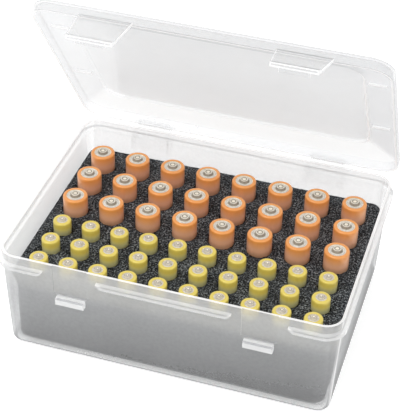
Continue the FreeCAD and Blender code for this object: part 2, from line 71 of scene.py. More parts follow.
def outline(width, depth, radius, middleY=0.0, frontPoints=(), cornerSteps=9):
    # a round-cornered rectangle, from the left end of its front side and on anticlockwise
    points = list(frontPoints)
    for sideX, sideY, start in ((1, -1, -90), (1, 1, 0), (-1, 1, 90), (-1, -1, 180)):
        centreX = sideX * (width / 2 - radius)
        centreY = middleY + sideY * (depth / 2 - radius)
        for step in range(cornerSteps + 1):
            turn = math.radians(start + 90 * step / cornerSteps)
            points.append((centreX + radius * math.cos(turn), centreY + radius * math.sin(turn)))
    return points


def insideRounded(x, y, width, depth, radius):
    dx, dy = abs(x) - (width / 2 - radius), abs(y) - (depth / 2 - radius)
    if dx > 0 and dy > 0:
        return math.hypot(dx, dy) < radius
    return dx < radius and dy < radius


def atHeight(points, height):
    return [Vector((x, y, height)) for x, y in points]


def loft(bm, loops):
    # skin the loops one after another and close both ends
    rings = [[bm.verts.new(point) for point in loop] for loop in loops]
    for low, high in zip(rings, rings[1:]):
        for i in range(len(low)):
            j = (i + 1) % len(low)
            bm.faces.new((low[i], low[j], high[j], high[i]))
    bm.faces.new(list(reversed(rings[0])))
    bm.faces.new(rings[-1])


def prismAlongX(bm, section, left, right):
    # a (y, z) section run from left to right
    loft(bm, [[Vector((x, y, z)) for y, z in section] for x in (left, right)])


def bevelEdges(bm, size, segments=2, minAngle=30.0):
    edges = [e for e in bm.edges if e.is_manifold and e.calc_face_angle(0) > math.radians(minAngle)]
    bmesh.ops.bevel(bm, geom=edges, offset=size, segments=segments, profile=0.6,
                    affect="EDGES", clamp_overlap=True)


def quarterRound(steps):
    # pairs (across, up) of a quarter round of radius 1, from its foot on the side to its top
    return [(1 - math.cos(math.radians(90 * k / steps)), math.sin(math.radians(90 * k / steps)))
            for k in range(steps + 1)]


# materials: each is built on a Principled shader; colour is procedural on all but the floor, roughness on the
# plastics, wraps and ends, and the plastics and foam have bump

def newMaterial(name):
    material = bpy.data.materials.new(name)
    material.use_nodes = True
    tree = material.node_tree
    return material, tree, tree.nodes["Principled BSDF"]


def addNode(tree, kind, inputs=None, **settings):
    node = tree.nodes.new(kind)
    for key, value in settings.items():
        setattr(node, key, value)
    for key, value in (inputs or {}).items():
        if isinstance(value, bpy.types.NodeSocket):
            tree.links.new(value, node.inputs[key])
        else:
            node.inputs[key].default_value = value
    return node


def calc(tree, operation, *values, **settings):
    node = addNode(tree, "ShaderNodeMath", dict(enumerate(values)), operation=operation, **settings)
    return node.outputs[0]


def objectNoise(tree, scale, detail=3.0, roughness=0.5):
    place = addNode(tree, "ShaderNodeTexCoord")
    return addNode(tree, "ShaderNodeTexNoise", {"Vector": place.outputs["Object"], "Scale": scale,
                                                "Detail": detail, "Roughness": roughness}).outputs["Fac"]


def ramp(tree, factor, stops):
    node = addNode(tree, "ShaderNodeValToRGB", {"Fac": factor})
    elements = node.color_ramp.elements
    while len(elements) < len(stops):
        elements.new(0.5)
    for element, (place, colour) in zip(elements, stops):
        element.position = place
        element.color = (*colour, 1.0)
    return node.outputs["Color"]


def mapRange(tree, value, fromLow, fromHigh, toLow, toHigh):
    return addNode(tree, "ShaderNodeMapRange", {"Value": value, "From Min": fromLow, "From Max": fromHigh,
                                                "To Min": toLow, "To Max": toHigh}).outputs["Result"]


def bump(tree, shader, height, strength, distance):
    node = addNode(tree, "ShaderNodeBump", {"Height": height, "Strength": strength,
                                            "Distance": distance})
    tree.links.new(node.outputs["Normal"], shader.inputs["Normal"])


plasticSurface = {
    "cloudScale": 24.0, "waveScale": 45.0, "grainScale": 520.0,
    "roughness": (0.29, 0.35), "bending": 1.49, "waveHeight": 0.0002,
    "facing": (0.2, 0.85),           # seen squarely below the first, along the surface above the second
    "cloudShare": (0.92, 1.08),
}

plastics = {
    # hides: how much one surface hides, seen squarely and along the surface; tint and flow: its colour
    # and that of its flow marks; through: the share of light that comes from behind; paintedGlow: emission,
    # a painted highlight on bright edges and corners; paintedLightRamp: painted light and shade, a change
    # along a direction, from, to (metres), and its strength at both; grain: how far fine mottling takes it
    # down and up
    # wall: its paintedLightRamp is painted light; the wall hides more of the dark foam and so looks lighter
    # towards the top and the left
    "wall": {"hides": (0.24, 0.57), "tint": (0.86, 0.87, 0.88), "flow": (0.81, 0.82, 0.83), "through": 0.45,
             "paintedLightRamp": ((-0.09, 0, 1), 0.005, 0.048, 0.76, 1.53), "grain": (0.955, 1.045)},
    # side: a lighter copy of the plastic, painted light on the side walls seen from inside and on the lid's
    # front skirt
    "side": {"hides": (0.18, 0.36), "tint": (0.90, 0.91, 0.92), "flow": (0.87, 0.88, 0.89), "through": 0.5},
    # corner: a painted highlight, a bright glowing band on the tray's corner sides, also on the ledge, the
    # reliefs' ends and the catches
    "corner": {"hides": (0.45, 0.90), "tint": (0.98, 0.98, 0.98), "flow": (0.94, 0.94, 0.94), "through": 0.2,
               "paintedGlow": 0.13},
    # besideCorner: a weaker painted highlight on the faces beside that band
    "besideCorner": {"hides": (0.34, 0.74), "tint": (0.92, 0.92, 0.93), "flow": (0.88, 0.88, 0.89),
                     "through": 0.3, "paintedGlow": 0.06},
    # clear: its paintedLightRamp paints light and shade across the lid, lighter on the left and greyer on the
    # right
    "clear": {"hides": (0.30, 0.56), "tint": (0.82, 0.83, 0.85), "flow": (0.78, 0.79, 0.81), "through": 0.5,
              "paintedLightRamp": ((1, 0, 0), -0.09, 0.09, 0.90, 1.15)},
    # panel: its paintedLightRamp paints a lighter zone at the panel's left end, bounded by a slanted line
    "panel": {"hides": (0.42, 0.70), "tint": (0.855, 0.865, 0.88), "flow": (0.845, 0.855, 0.87),
              "through": 0.5, "paintedLightRamp": ((1, 0, -0.216), -0.0962, -0.0918, 0.80, 1.0)},
    "border": {"hides": (0.26, 0.45), "tint": (0.87, 0.88, 0.89), "flow": (0.85, 0.86, 0.87), "through": 0.5},
    "flap": {"hides": (0.15, 0.27), "tint": (0.87, 0.88, 0.89), "flow": (0.83, 0.84, 0.85), "through": 0.5},
    "faint": {"hides": (0.05, 0.14), "tint": (0.90, 0.91, 0.92), "flow": (0.84, 0.85, 0.86), "through": 0.5},
    # edge: a painted highlight, white and glowing, on rims, ribs, latch edges and the lid's right slope
    "edge": {"hides": (0.80, 0.95), "tint": (1.0, 1.0, 1.0), "flow": (0.97, 0.97, 0.97), "through": 0.2,
             "paintedGlow": 0.13},
    # line: painted shade, a dark contact shadow along the tray's foot and dark lines on the latches' front
    # edges
    "line": {"hides": (0.65, 0.80), "tint": (0.40, 0.41, 0.42), "flow": (0.36, 0.37, 0.38), "through": 0.1},
    "shade": {"hides": (0.24, 0.46), "tint": (0.40, 0.41, 0.42), "flow": (0.36, 0.37, 0.38), "through": 0.2},
}


def plasticMaterial(name, look):
    # milky moulded plastic: part of it hides, and that part is lit from both sides, with faint flow marks
    material, tree, shader = newMaterial(name + "Plastic")
    surface = plasticSurface
    cloud = objectNoise(tree, surface["cloudScale"])
    waves = objectNoise(tree, surface["waveScale"], 1.0)
    colour = ramp(tree, cloud, [(0.0, look["flow"]), (1.0, look["tint"])])
    tree.links.new(colour, shader.inputs["Base Color"])
    tree.links.new(mapRange(tree, cloud, 0.2, 0.8, *surface["roughness"]), shader.inputs["Roughness"])
    shader.inputs["IOR"].default_value = surface["bending"]
    shader.inputs["Emission Color"].default_value = (1.0, 1.0, 1.0, 1.0)
    # painted highlight: emission makes bright edges and corners glow, though no lamp is there
    shader.inputs["Emission Strength"].default_value = look.get("paintedGlow", 0.0)
    bump(tree, shader, waves, 0.1, surface["waveHeight"])
    behind = addNode(tree, "ShaderNodeBsdfTranslucent", {"Color": colour}).outputs[0]
    milk = addNode(tree, "ShaderNodeMixShader", {0: look["through"], 1: shader.outputs[0], 2: behind})
    facing = addNode(tree, "ShaderNodeLayerWeight", {"Blend": 0.5}).outputs["Facing"]
    hide = mapRange(tree, facing, *surface["facing"], *look["hides"])
    shares = [mapRange(tree, cloud, 0.0, 1.0, *surface["cloudShare"])]
    if "grain" in look:
        shares.append(mapRange(tree, objectNoise(tree, surface["grainScale"], 1.0), 0.3, 0.7, *look["grain"]))
    # painted light and shade: how much it hides, and so how light it looks, changes along a direction
    if "paintedLightRamp" in look:
        direction, *steps = look["paintedLightRamp"]
        place = addNode(tree, "ShaderNodeTexCoord").outputs["Object"]
        along = addNode(tree, "ShaderNodeVectorMath", {0: place, 1: direction}, operation="DOT_PRODUCT")
        shares.append(mapRange(tree, along.outputs["Value"], *steps))
    for share in shares:
        hide = calc(tree, "MULTIPLY", hide, share, use_clamp=True)
    gap = addNode(tree, "ShaderNodeBsdfTransparent").outputs[0]
    both = addNode(tree, "ShaderNodeMixShader", {0: hide, 1: gap, 2: milk.outputs[0]}).outputs[0]
    tree.links.new(both, tree.nodes["Material Output"].inputs["Surface"])
    return material


plasticOf = {name: plasticMaterial(name, look) for name, look in plastics.items()}
print("plastic ready")

foamLooks = {
    # colours of the hollows, of their dark and middle walls, and of the thin pale walls between the cells;
    # the sides are seen through milky plastic alone, so their grain and relief are softer
    "openFoam": {"hollow": (0.003, 0.003, 0.004), "dark": (0.022, 0.024, 0.027),
                 "mid": (0.074, 0.081, 0.088), "light": (0.36, 0.385, 0.40), "grain": 1000.0, "relief": 0.7},
    "foamSides": {"hollow": (0.042, 0.042, 0.043), "dark": (0.049, 0.049, 0.050),
                  "mid": (0.056, 0.056, 0.057), "light": (0.068, 0.068, 0.070), "grain": 450.0,
                  "relief": 0.05},
}
foamStops = {"hollow": 0.38, "dark": 0.48, "mid": 0.55, "light": 0.66}  # where on the noise each stands


def foamMaterial(name, look):
    # open cells of about a millimetre: dark hollows, thin pale walls between them
    material, tree, shader = newMaterial(name)
    grain = objectNoise(tree, look["grain"], 3.0, 0.75)
    patches = objectNoise(tree, 90.0)
    mixed = calc(tree, "ADD", grain, mapRange(tree, patches, 0.3, 0.7, -0.03, 0.03))
    colour = ramp(tree, mixed, [(place, look[part]) for part, place in foamStops.items()])
    tree.links.new(colour, shader.inputs["Base Color"])
    shader.inputs["Roughness"].default_value = 0.95
    shader.inputs["Specular IOR Level"].default_value = 0.2
    bump(tree, shader, grain, look["relief"], 0.0005)
    return material


foams = [foamMaterial(name, look) for name, look in foamLooks.items()]

foamTop = 47.5  # also what the wraps' painted shade band starts from
wraps = {
    # colours of the shoulder and of the side, the height where they meet, and half the width of the change
    "aa": {"upper": (0.88, 0.35, 0.085), "lower": (0.92, 0.49, 0.30), "split": 54.2, "fade": 2.4},
    "aaa": {"upper": (0.80, 0.64, 0.12), "lower": (0.75, 0.71, 0.36), "split": 50.2, "fade": 1.8},
}
film = {
    "metallic": 0.1, "roughness": (0.29, 0.34), "coat": 0.5, "coatRoughness": 0.12,
    "blotchScale": 110.0, "blotches": (0.98, 1.02),
    "paintedShade": 0.72, "paintedShadeTall": 3.0,      # painted shade: brightness at the foam's top, and how far above it that ends
}


def wrapMaterial(name, look):
    # printed film: one colour from the shoulder down, another lower, darkened by painted shade where it
    # enters the foam
    material, tree, shader = newMaterial(name)
    place = addNode(tree, "ShaderNodeTexCoord").outputs["Object"]
    height = addNode(tree, "ShaderNodeSeparateXYZ", {0: place}).outputs["Z"]
    low, high = (look["split"] - look["fade"]) * mm, (look["split"] + look["fade"]) * mm
    colour = addNode(tree, "ShaderNodeMix", {"Factor": mapRange(tree, height, low, high, 0.0, 1.0)},
                     data_type="RGBA")
    colour.inputs["A"].default_value = (*look["lower"], 1.0)
    colour.inputs["B"].default_value = (*look["upper"], 1.0)
    blotches = objectNoise(tree, film["blotchScale"], 1.0)
    # painted shade: the wrap is darker just above the foam's top
    paintedShade = mapRange(tree, height, foamTop * mm, (foamTop + film["paintedShadeTall"]) * mm, film["paintedShade"], 1.0)
    value = calc(tree, "MULTIPLY", mapRange(tree, blotches, 0.3, 0.7, *film["blotches"]), paintedShade)
    toned = addNode(tree, "ShaderNodeHueSaturation", {"Color": colour.outputs["Result"], "Value": value})
    tree.links.new(toned.outputs["Color"], shader.inputs["Base Color"])
    shader.inputs["Metallic"].default_value = film["metallic"]
    tree.links.new(mapRange(tree, blotches, 0.3, 0.7, *film["roughness"]), shader.inputs["Roughness"])
    shader.inputs["Coat Weight"].default_value = film["coat"]
    shader.inputs["Coat Roughness"].default_value = film["coatRoughness"]
    return material


endRingsAndPaintedLight = [
    # share of the way out to the wrap's edge, and colour; the dark rings are painted shade on the nub's side
    # and foot, in the dip on its top and in the groove, and the pale middle is a painted highlight on the
    # nub's top
    (0.00, (0.95, 0.88, 0.74)), (0.20, (0.92, 0.84, 0.70)), (0.25, (0.26, 0.21, 0.15)),
    (0.31, (0.34, 0.29, 0.22)), (0.36, (0.80, 0.74, 0.63)), (0.46, (0.80, 0.74, 0.63)),
    (0.50, (0.30, 0.26, 0.21)), (0.54, (0.34, 0.30, 0.24)), (0.58, (0.74, 0.69, 0.60)),
    (0.80, (0.84, 0.80, 0.73)), (0.86, (0.58, 0.54, 0.48)), (0.91, (0.86, 0.81, 0.72)),
    (1.00, (0.88, 0.78, 0.63)),
]


def endMaterial():
    # plated steel of the cells' ends: rings of colour, partly painted shade and a painted highlight round the
    # nub, dulled in blotches
    material, tree, shader = newMaterial("platedEnd")
    ring = addNode(tree, "ShaderNodeAttribute", attribute_name="ringPlace").outputs["Fac"]
    blotches = objectNoise(tree, 700.0)
    dull = mapRange(tree, blotches, 0.3, 0.7, 0.82, 1.12)
    toned = addNode(tree, "ShaderNodeHueSaturation", {"Color": ramp(tree, ring, endRingsAndPaintedLight), "Value": dull})
    tree.links.new(toned.outputs["Color"], shader.inputs["Base Color"])
    shader.inputs["Metallic"].default_value = 0.35
    tree.links.new(mapRange(tree, blotches, 0.3, 0.7, 0.30, 0.46), shader.inputs["Roughness"])
    return material


platedEnd = endMaterial()
wrapOf = {kind: wrapMaterial(kind + "Wrap", look) for kind, look in wraps.items()}
print("materials ready")


# tray

tray = {
    "footWidth": 187.0, "footDepth": 135.0, "footCorner": 7.5, "footRound": 3.0,
    "height": 66.0, "lean": 3.0, "wall": 1.5, "floor": 1.8, "innerRound": 4.5,
    "rimBevel": 0.4, "rimRound": 0.12,
    "backPart": 55.0,       # how far back the grey edges of painted shade start
    "ledgeWidth": 197.0, "ledgeDepth": 145.0, "ledgeCorner": 12.5, "ledgeFoot": 57.0, "ledgeTop": 60.5,
    "ledgeEdge": 0.4,
    "latchCentre": 53.4, "breakTop": 30.8, "breakFoot": 36.8,
    "reliefWidth": 20.0, "reliefFoot": 46.0, "reliefSink": 0.4,
    "catchWidth": 16.5, "catchFoot": 40.0, "catchTop": 45.5, "catchFace": 72.3, "catchBevel": 0.9,
    "catchDrop": 1.2, "catchSunk": 0.7,
    "hingeCentre": 55.0, "hingeBack": 77.5, "hingeHeight": 61.5, "pinRadius": 1.5,
    "earRadius": 3.0, "earThick": 2.2, "earFoot": 50.0, "earTopGap": 0.05,
    "bossBack": 72.8, "bossFoot": 51.0, "bossSlopeTop": 55.0, "bossTopGap": 0.1, "bossInEar": 0.5,
    "barrelLength": 20.0, "barrelPlay": 0.4,
}


def wallLean(height):
    return tray["lean"] * height / tray["height"]


def frontRow(breakWidth, ledgeY, wallY, reliefY):
    # points along the front side: ledge, then wall, then relief, and back, at both latches
    row = []
    for side in (-1, 1):
        centre = side * tray["latchCentre"]
        breakHalf, reliefHalf = breakWidth / 2, tray["reliefWidth"] / 2
        row += [(centre - breakHalf, ledgeY), (centre - breakHalf, wallY),
                (centre - reliefHalf, wallY), (centre - reliefHalf, reliefY),
                (centre + reliefHalf, reliefY), (centre + reliefHalf, wallY),
                (centre + breakHalf, wallY), (centre + breakHalf, ledgeY)]
    return row


def trayLoop(height, inset, relief=0.0, ledge=None, breakWidth=None):
    # one loop of the tray; ledge is how far the ledge's outline is inset, None where it has none
    out = wallLean(height) - inset
    width, depth = tray["footWidth"] + 2 * out, tray["footDepth"] + 2 * out
    radius = tray["footCorner"] + out
    wallY = -depth / 2
    if ledge is None:
        row = frontRow(breakWidth or tray["breakTop"], wallY, wallY, wallY + relief)
        return atHeight(outline(width, depth, max(radius, 0.5), 0.0, row), height)
    ledgeDepth = tray["ledgeDepth"] - 2 * ledge
    row = frontRow(breakWidth, -ledgeDepth / 2, wallY, wallY + relief)
    points = outline(tray["ledgeWidth"] - 2 * ledge, ledgeDepth, tray["ledgeCorner"] - ledge, 0.0, row)
    return atHeight(points, height)


def trayLoops():
    # from the underside round the foot, up the outside, over the rim and down the inside to the floor
    footRound, sink, edge = tray["footRound"], tray["reliefSink"], tray["ledgeEdge"]
    low, high = tray["breakFoot"], tray["breakTop"]
    slack = 0.002  # keeps stacked loops from falling together where the ledge is broken
    loops = [trayLoop(footRound * (1 - up), footRound * across) for across, up in reversed(quarterRound(6))]
    loops.append(trayLoop(tray["reliefFoot"] - slack, 0.0))
    loops.append(trayLoop(tray["reliefFoot"], 0.0, sink))
    loops.append(trayLoop(tray["ledgeFoot"] - slack, 0.0, sink, None, low))
    loops.append(trayLoop(tray["ledgeFoot"], 0.0, sink, edge, low))
    loops.append(trayLoop(tray["ledgeFoot"] + edge, 0.0, sink, 0.0, low - edge))
    loops.append(trayLoop(tray["ledgeTop"] - edge, 0.0, sink, 0.0, high + edge))
    loops.append(trayLoop(tray["ledgeTop"], 0.0, sink, edge, high))
    loops.append(trayLoop(tray["ledgeTop"] + slack, 0.0, sink, None, high))
    bevel, halfway = tray["rimBevel"], tray["rimRound"]
    loops.append(trayLoop(tray["height"] - bevel, 0.0, sink))
    loops.append(trayLoop(tray["height"] - halfway, halfway, sink))
    loops.append(trayLoop(tray["height"], bevel, sink))
    loops.append(trayLoop(tray["height"], tray["wall"] - bevel))
    loops.append(trayLoop(tray["height"] - bevel, tray["wall"]))
    inner = tray["innerRound"]
    for across, up in quarterRound(6):
        # across grows towards the middle as the height falls to the floor
        loops.append(trayLoop(tray["floor"] + inner * (1 - up), tray["wall"] + inner * across))
    return loops


def addHingeEars(bm):
    # two bosses behind the wall, each with a pin between two ears
    back, height, radius = tray["hingeBack"], tray["hingeHeight"], tray["earRadius"]
    wallBack = tray["footDepth"] / 2 + wallLean(tray["earFoot"]) - tray["wall"] / 2
    ear = [(wallBack, tray["earFoot"])]
    for step in range(11):
        turn = math.radians(-45 + 22.5 * step)
        ear.append((back + radius * math.cos(turn), height + radius * math.sin(turn)))
    earTop, bossTop = tray["ledgeTop"] - tray["earTopGap"], tray["ledgeTop"] - tray["bossTopGap"]
    ear += [(back - radius, earTop), (wallBack, earTop)]
    boss = [(wallBack, tray["bossFoot"]), (tray["bossBack"], tray["bossSlopeTop"]),
            (tray["bossBack"], bossTop), (wallBack, bossTop)]
    pin = [(back + tray["pinRadius"] * math.cos(math.radians(15 * k)),
            height + tray["pinRadius"] * math.sin(math.radians(15 * k))) for k in range(24)]
    gap = tray["barrelLength"] / 2 + tray["barrelPlay"]
    reach = gap + tray["bossInEar"]
    for side in (-1, 1):
        centre = side * tray["hingeCentre"]
        for end in (-1, 1):
            near, far = centre + end * gap, centre + end * (gap + tray["earThick"])
            prismAlongX(bm, ear, min(near, far), max(near, far))
        prismAlongX(bm, boss, centre - reach, centre + reach)
        prismAlongX(bm, pin, centre - reach, centre + reach)


def trayFaces(middle, normal):
    # 0 the walls; 1 the rim, bright with a painted highlight; 2 painted shade: grey edges of ledge and back
    # rim;
    # 3 a painted highlight on the corners' sides, the ledge and the reliefs' ends; 4 the line at the foot, a
    # painted contact shadow; 5 the side walls from inside, made lighter with painted light; 6 a weaker
    # painted highlight beside the corners' sides
    outside = middle.x * normal.x + middle.y * normal.y > 0
    if middle.z > tray["height"] - tray["rimBevel"] - 0.05:
        return 2 if outside and middle.y > tray["backPart"] and normal.z < 0.9 else 1
    if tray["ledgeFoot"] - 0.1 < middle.z < tray["ledgeTop"] + 0.1 and abs(normal.z) > 0.5:
        return 2 if middle.y > tray["backPart"] else 3
    # painted contact shadow: a dark line along the foot
    if outside and middle.z < 1.3 and abs(normal.z) < 0.98:
        return 4
    # painted light: the side walls seen from inside get a lighter look
    if not outside:
        return 5 if abs(normal.x) > 0.7 else 0
    # painted highlight: faces turned a little from the sides, where light catches the corners
    turn = abs(normal.y) / max(abs(normal.x), 0.01)
    if 0.05 < turn < 0.6 and middle.z > tray["footRound"]:
        return 3 if 0.17 < turn < 0.37 else 6
    reliefEnd = middle.y < -60 and abs(abs(middle.x) - tray["latchCentre"]) < 20 and abs(normal.x) > 0.2
    return 3 if reliefEnd else 0


def makeTray():
    bm = bmesh.new()
    loft(bm, trayLoops())
    looks = ("wall", "edge", "shade", "corner", "line", "side", "besideCorner")
    piece = newPiece("trayShell", bm, [plasticOf[name] for name in looks], choose=trayFaces)
    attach(piece, "base")
    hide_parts("base_shell")


def makeTrayEars():
    bm = bmesh.new()
    addHingeEars(bm)
    bevelEdges(bm, 0.25)
    piece = newPiece("trayHingeEars", bm, [plasticOf["faint"]])
    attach(piece, "base")


def catchFaces(middle, normal):
    # 1 the slanted top edge, a greyer line of painted shade; 0 the rest, bright with a painted highlight
    return 1 if normal.y < -0.3 and 0.3 < normal.z < 0.95 else 0


def makeTrayCatches():
    bm = bmesh.new()
    wallFront = tray["footDepth"] / 2 + wallLean(tray["catchFoot"]) - tray["catchSunk"]
    face, bevel = tray["catchFace"], tray["catchBevel"]
    top = tray["catchTop"] - tray["catchDrop"]
    section = [(-wallFront, tray["catchFoot"]), (-face, tray["catchFoot"]), (-face, top - bevel),
               (-face + bevel, top), (-wallFront, top)]
    for side in (-1, 1):
        centre = side * tray["latchCentre"]
        prismAlongX(bm, section, centre - tray["catchWidth"] / 2, centre + tray["catchWidth"] / 2)
    bevelEdges(bm, 0.2)
    piece = newPiece("trayCatchBars", bm, [plasticOf["corner"], plasticOf["clear"]], choose=catchFaces)
    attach(piece, "base")


makeTray()
makeTrayEars()
makeTrayCatches()
print("tray ready")


# lid, drawn shut over the tray and then swung open about the hinge pins

lid = {
    "width": 197.0, "depth": 145.0, "corner": 12.5, "rim": 60.7, "top": 67.5, "wall": 1.5, "skin": 1.2,
    "round": 1.7, "innerRound": 0.8, "rimBevel": 0.3, "open": 55.6,
    "panelWidth": 164.0, "panelDepth": 104.0, "panelCorner": 12.0, "panelMiddle": -4.0,
    "panelRise": 1.5, "panelRun": 0.87, "crease": 0.15, "flatInset": 30.0,
    "ribStart": 83.5, "ribLength": 10.0, "ribThick": 1.2, "ribTall": 1.0, "ribSunk": 0.4,
    "ribPlaces": (-42.0, 16.0),
    "barrelRadius": 2.9, "boreRadius": 1.56, "mouth": 2.5,
    "armDrop": 0.2, "armRise": 2.5, "armFoot": 2.2, "armHead": 1.2,
}

hingeLine = Vector((0.0, tray["hingeBack"], tray["hingeHeight"]))
lidSwing = (Matrix.Translation(hingeLine) @ Matrix.Rotation(math.radians(-lid["open"]), 4, "X")
            @ Matrix.Translation(-hingeLine))


def lidLoop(height, inset):
    radius = max(lid["corner"] - inset, 0.5)
    return atHeight(outline(lid["width"] - 2 * inset, lid["depth"] - 2 * inset, radius), height)


def panelLoop(height, inset):
    radius = max(lid["panelCorner"] - inset, 0.5)
    return atHeight(outline(lid["panelWidth"] - 2 * inset, lid["panelDepth"] - 2 * inset, radius,
                            lid["panelMiddle"]), height)


def lidFaces(middle, normal):
    # 0 the rest; 1 bright with a painted highlight: the rim and the slope on the right; 2 the panel; 3 grey
    # with
    # painted shade: rounds and outer slopes; 4 pale with painted light: the skirt in front; 5 the border at
    # the hinge
    if middle.z < lid["rim"] + lid["rimBevel"] + 0.01 and abs(normal.z) > 0.3:
        outside = middle.x * normal.x + middle.y * normal.y > 0
        return 3 if outside and abs(normal.z) < 0.95 else 1
    if insideRounded(middle.x, middle.y - lid["panelMiddle"], lid["panelWidth"] + 0.5,
                     lid["panelDepth"] + 0.5, lid["panelCorner"]):
        sloping = 0.2 < abs(normal.z) < 0.97
        if sloping and middle.x < -lid["panelWidth"] / 2 + lid["panelCorner"]:
            return 0
        if sloping and normal.z > 0:
            return 3
        # painted highlight: only the right slope gets the bright look, as if it catches the light
        return 1 if sloping and middle.x > lid["panelWidth"] / 2 - 3 else 2
    if abs(normal.z) < 0.1 and middle.y < 0:
        return 4
    if abs(normal.z) > 0.9 and middle.y > 52:
        return 5
    return 3 if middle.z > lid["top"] - lid["round"] and 0.1 < normal.z < 0.93 else 0


def makeLid():
    top, under = lid["top"], lid["top"] - lid["skin"]
    rise, run, bend = lid["panelRise"], lid["panelRun"], lid["round"]
    bevel, crease, flat = lid["rimBevel"], lid["crease"], lid["flatInset"]
    outside = [panelLoop(top + rise, flat), panelLoop(top + rise, run + 0.5),
               panelLoop(top + rise - crease, run), panelLoop(top + crease, 0.1), panelLoop(top, -0.4)]
    for across, up in reversed(quarterRound(6)):
        outside.append(lidLoop(top - bend + bend * up, bend * across))
    outside += [lidLoop(lid["rim"] + bevel, 0.0), lidLoop(lid["rim"], bevel)]
    wall, inner = lid["wall"], lid["innerRound"]
    inside = [lidLoop(lid["rim"], wall - bevel), lidLoop(lid["rim"] + bevel, wall)]
    for across, up in quarterRound(4):
        inside.append(lidLoop(under - inner + inner * up, wall + inner * across))
    inside += [panelLoop(under, 0.2), panelLoop(under + crease, 0.6),
               panelLoop(under + rise - crease, run + 0.5), panelLoop(under + rise, run + 1.0),
               panelLoop(under + rise, flat)]
    bm = bmesh.new()
    loft(bm, outside + inside)
    looks = ("clear", "edge", "panel", "shade", "side", "border")
    piece = newPiece("lidShell", bm, [plasticOf[name] for name in looks], lidSwing, choose=lidFaces)
    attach(piece, "lid")
    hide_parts("lid_shell")


def addBorderRibs(bm):
    under = lid["top"] - lid["skin"]
    for side in (-1, 1):
        ends = sorted((side * lid["ribStart"], side * (lid["ribStart"] + lid["ribLength"])))
        for place in lid["ribPlaces"]:
            half = lid["ribThick"] / 2
            section = [(place - half, under - lid["ribTall"]), (place + half, under - lid["ribTall"]),
                       (place + half, under + lid["ribSunk"]), (place - half, under + lid["ribSunk"])]
            prismAlongX(bm, section, *ends)


def openRing(radius, steps=24):
    # points round the hinge line, from one side of the slot below it to the other
    opening = math.degrees(math.asin(lid["mouth"] / 2 / radius))
    back, height = tray["hingeBack"], tray["hingeHeight"]
    turns = [math.radians(-90 + opening + (360 - 2 * opening) * k / steps) for k in range(steps + 1)]
    return [(back + radius * math.cos(turn), height + radius * math.sin(turn)) for turn in turns]


def addSlottedBarrels(bm):
    ring = openRing(lid["barrelRadius"]) + openRing(lid["boreRadius"])[::-1]
    skirtBack = lid["depth"] / 2 - lid["wall"] / 2
    low, high = tray["hingeHeight"] - lid["armDrop"], tray["hingeHeight"] + lid["armRise"]
    arm = [(skirtBack, low), (tray["hingeBack"] - lid["armFoot"], low),
           (tray["hingeBack"] - lid["armHead"], high), (skirtBack, high)]
    for side in (-1, 1):
        centre, half = side * tray["hingeCentre"], tray["barrelLength"] / 2
        prismAlongX(bm, ring, centre - half, centre + half)
        prismAlongX(bm, arm, centre - half, centre + half)


def fittingFaces(middle, normal):
    # 1 the border ribs, bright with a painted highlight; 0 the barrels behind the skirt
    return 1 if middle.y < lid["depth"] / 2 - 5 else 0


def makeLidFittings():
    bm = bmesh.new()
    addBorderRibs(bm)
    addSlottedBarrels(bm)
    bevelEdges(bm, 0.15, 1)
    piece = newPiece("lidRibsAndBarrels", bm, [plasticOf["faint"], plasticOf["edge"]], lidSwing,
                     choose=fittingFaces)
    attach(piece, "lid")


makeLid()
makeLidFittings()
print("lid ready")


# latches, drawn hanging from their own axis

latch = {
    "rootFront": 72.9, "rootHeight": 61.4, "rootRadius": 0.6, "rootWidth": 29.6, "tipWidth": 25.0,
    "length": 25.2, "front": 1.4, "back": 0.2, "start": 1.0, "gripTall": 2.4, "gripFront": 2.3,
    "hookWidth": 16.0, "hookReach": 3.2, "hookTop": 22.2, "hookEdge": 1.0, "hookTall": 2.6,
    "swell": 0.6, "gripRise": 0.9, "gripTaper": 0.1, "tipBevel": 0.8,
    "flare": {"left": 34.4, "right": 47.3},
}


def latchFaces(middle, normal):
    # 0 the flats, 1 bright with a painted highlight: sides, rounded edges and the border of the tip, 2 grey
    # with painted shade: the edges in front
    underHook = middle.y > 0.5 and abs(normal.x) < 0.05 and normal.y > 0.3
    atTip = middle.z < 0.1 - latch["length"]
    border = abs(middle.y + (latch["gripFront"] - latch["back"]) / 2) > 0.4 or abs(middle.x) > 5
    if abs(normal.z) > 0.97:
        return 1 if atTip and border else 0
    if abs(normal.y) > 0.97 or underHook:
        return 0
    return 2 if normal.y < -0.3 else 1


